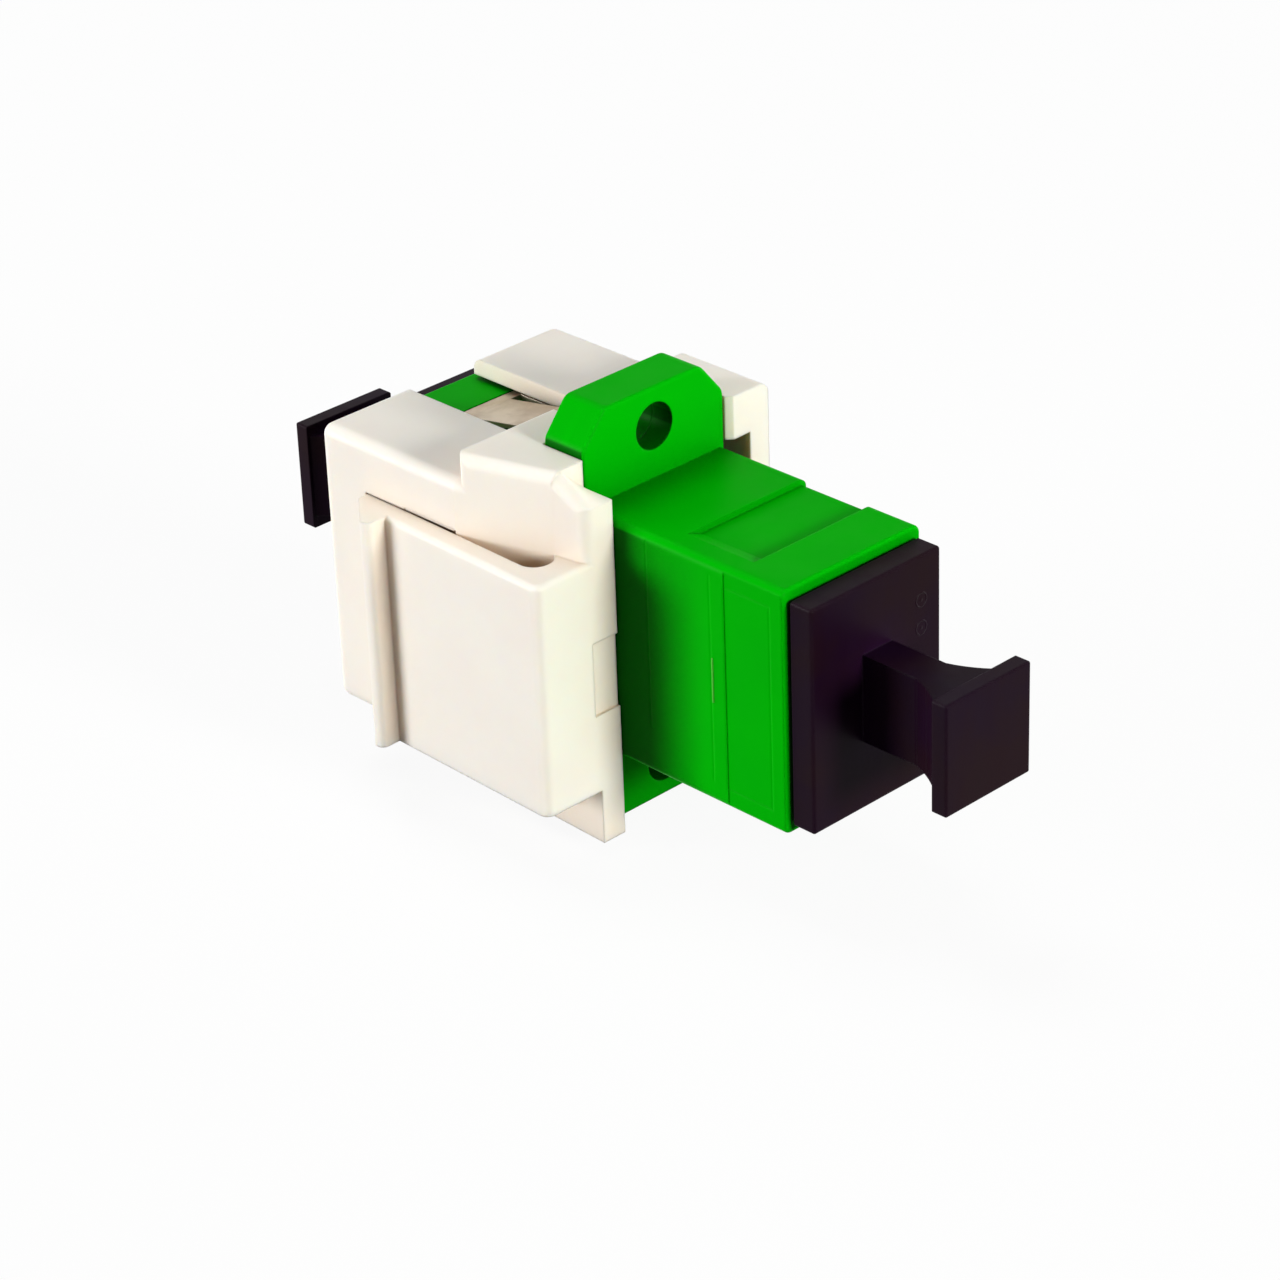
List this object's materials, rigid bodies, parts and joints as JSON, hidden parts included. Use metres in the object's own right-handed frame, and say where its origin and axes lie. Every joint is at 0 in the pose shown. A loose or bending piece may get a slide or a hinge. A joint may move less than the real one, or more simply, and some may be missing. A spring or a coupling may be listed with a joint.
{
  "type": "fibre optic adapter",
  "caption": "Flanged simplex push-pull fibre adapter with dust caps, held in a snap-in carrier with a sprung latch arm.",
  "frame": {"origin": "on the adapter's axis in the flange's front face, at the centre of the two flange holes", "axes": "+X along the axis towards the front port, +Y towards the carrier's fixed lug, +Z through the upper flange ear"},
  "size_m": [0.0443, 0.0189, 0.022],
  "materials": {
    "ivory_plastic": "satin moulded",
    "green_plastic": "semi-gloss moulded",
    "dark_plastic": "satin moulded",
    "clip_steel": "rolled sheet",
    "insert_plastic": "moulded",
    "ceramic": "ground zirconia"
  },
  "bodies": {
    "adapter": {"mount_frame": "ivory_plastic", "front_housing": "green_plastic", "rear_housing": "green_plastic", "panel_clip": "clip_steel", "front_latch_insert": "insert_plastic", "rear_latch_insert": "insert_plastic", "alignment_sleeve": "ceramic"},
    "front_cap": {"front_dust_cap": "dark_plastic"},
    "rear_cap": {"rear_dust_cap": "dark_plastic"}
  },
  "joints": [
    {"name": "front_cap_slide", "type": "slide", "parent": "adapter", "child": "front_cap", "axis": [1, 0, 0], "range_m": [0, 0.012]},
    {"name": "rear_cap_slide", "type": "slide", "parent": "adapter", "child": "rear_cap", "axis": [-1, 0, 0], "range_m": [0, 0.012]}
  ]
}
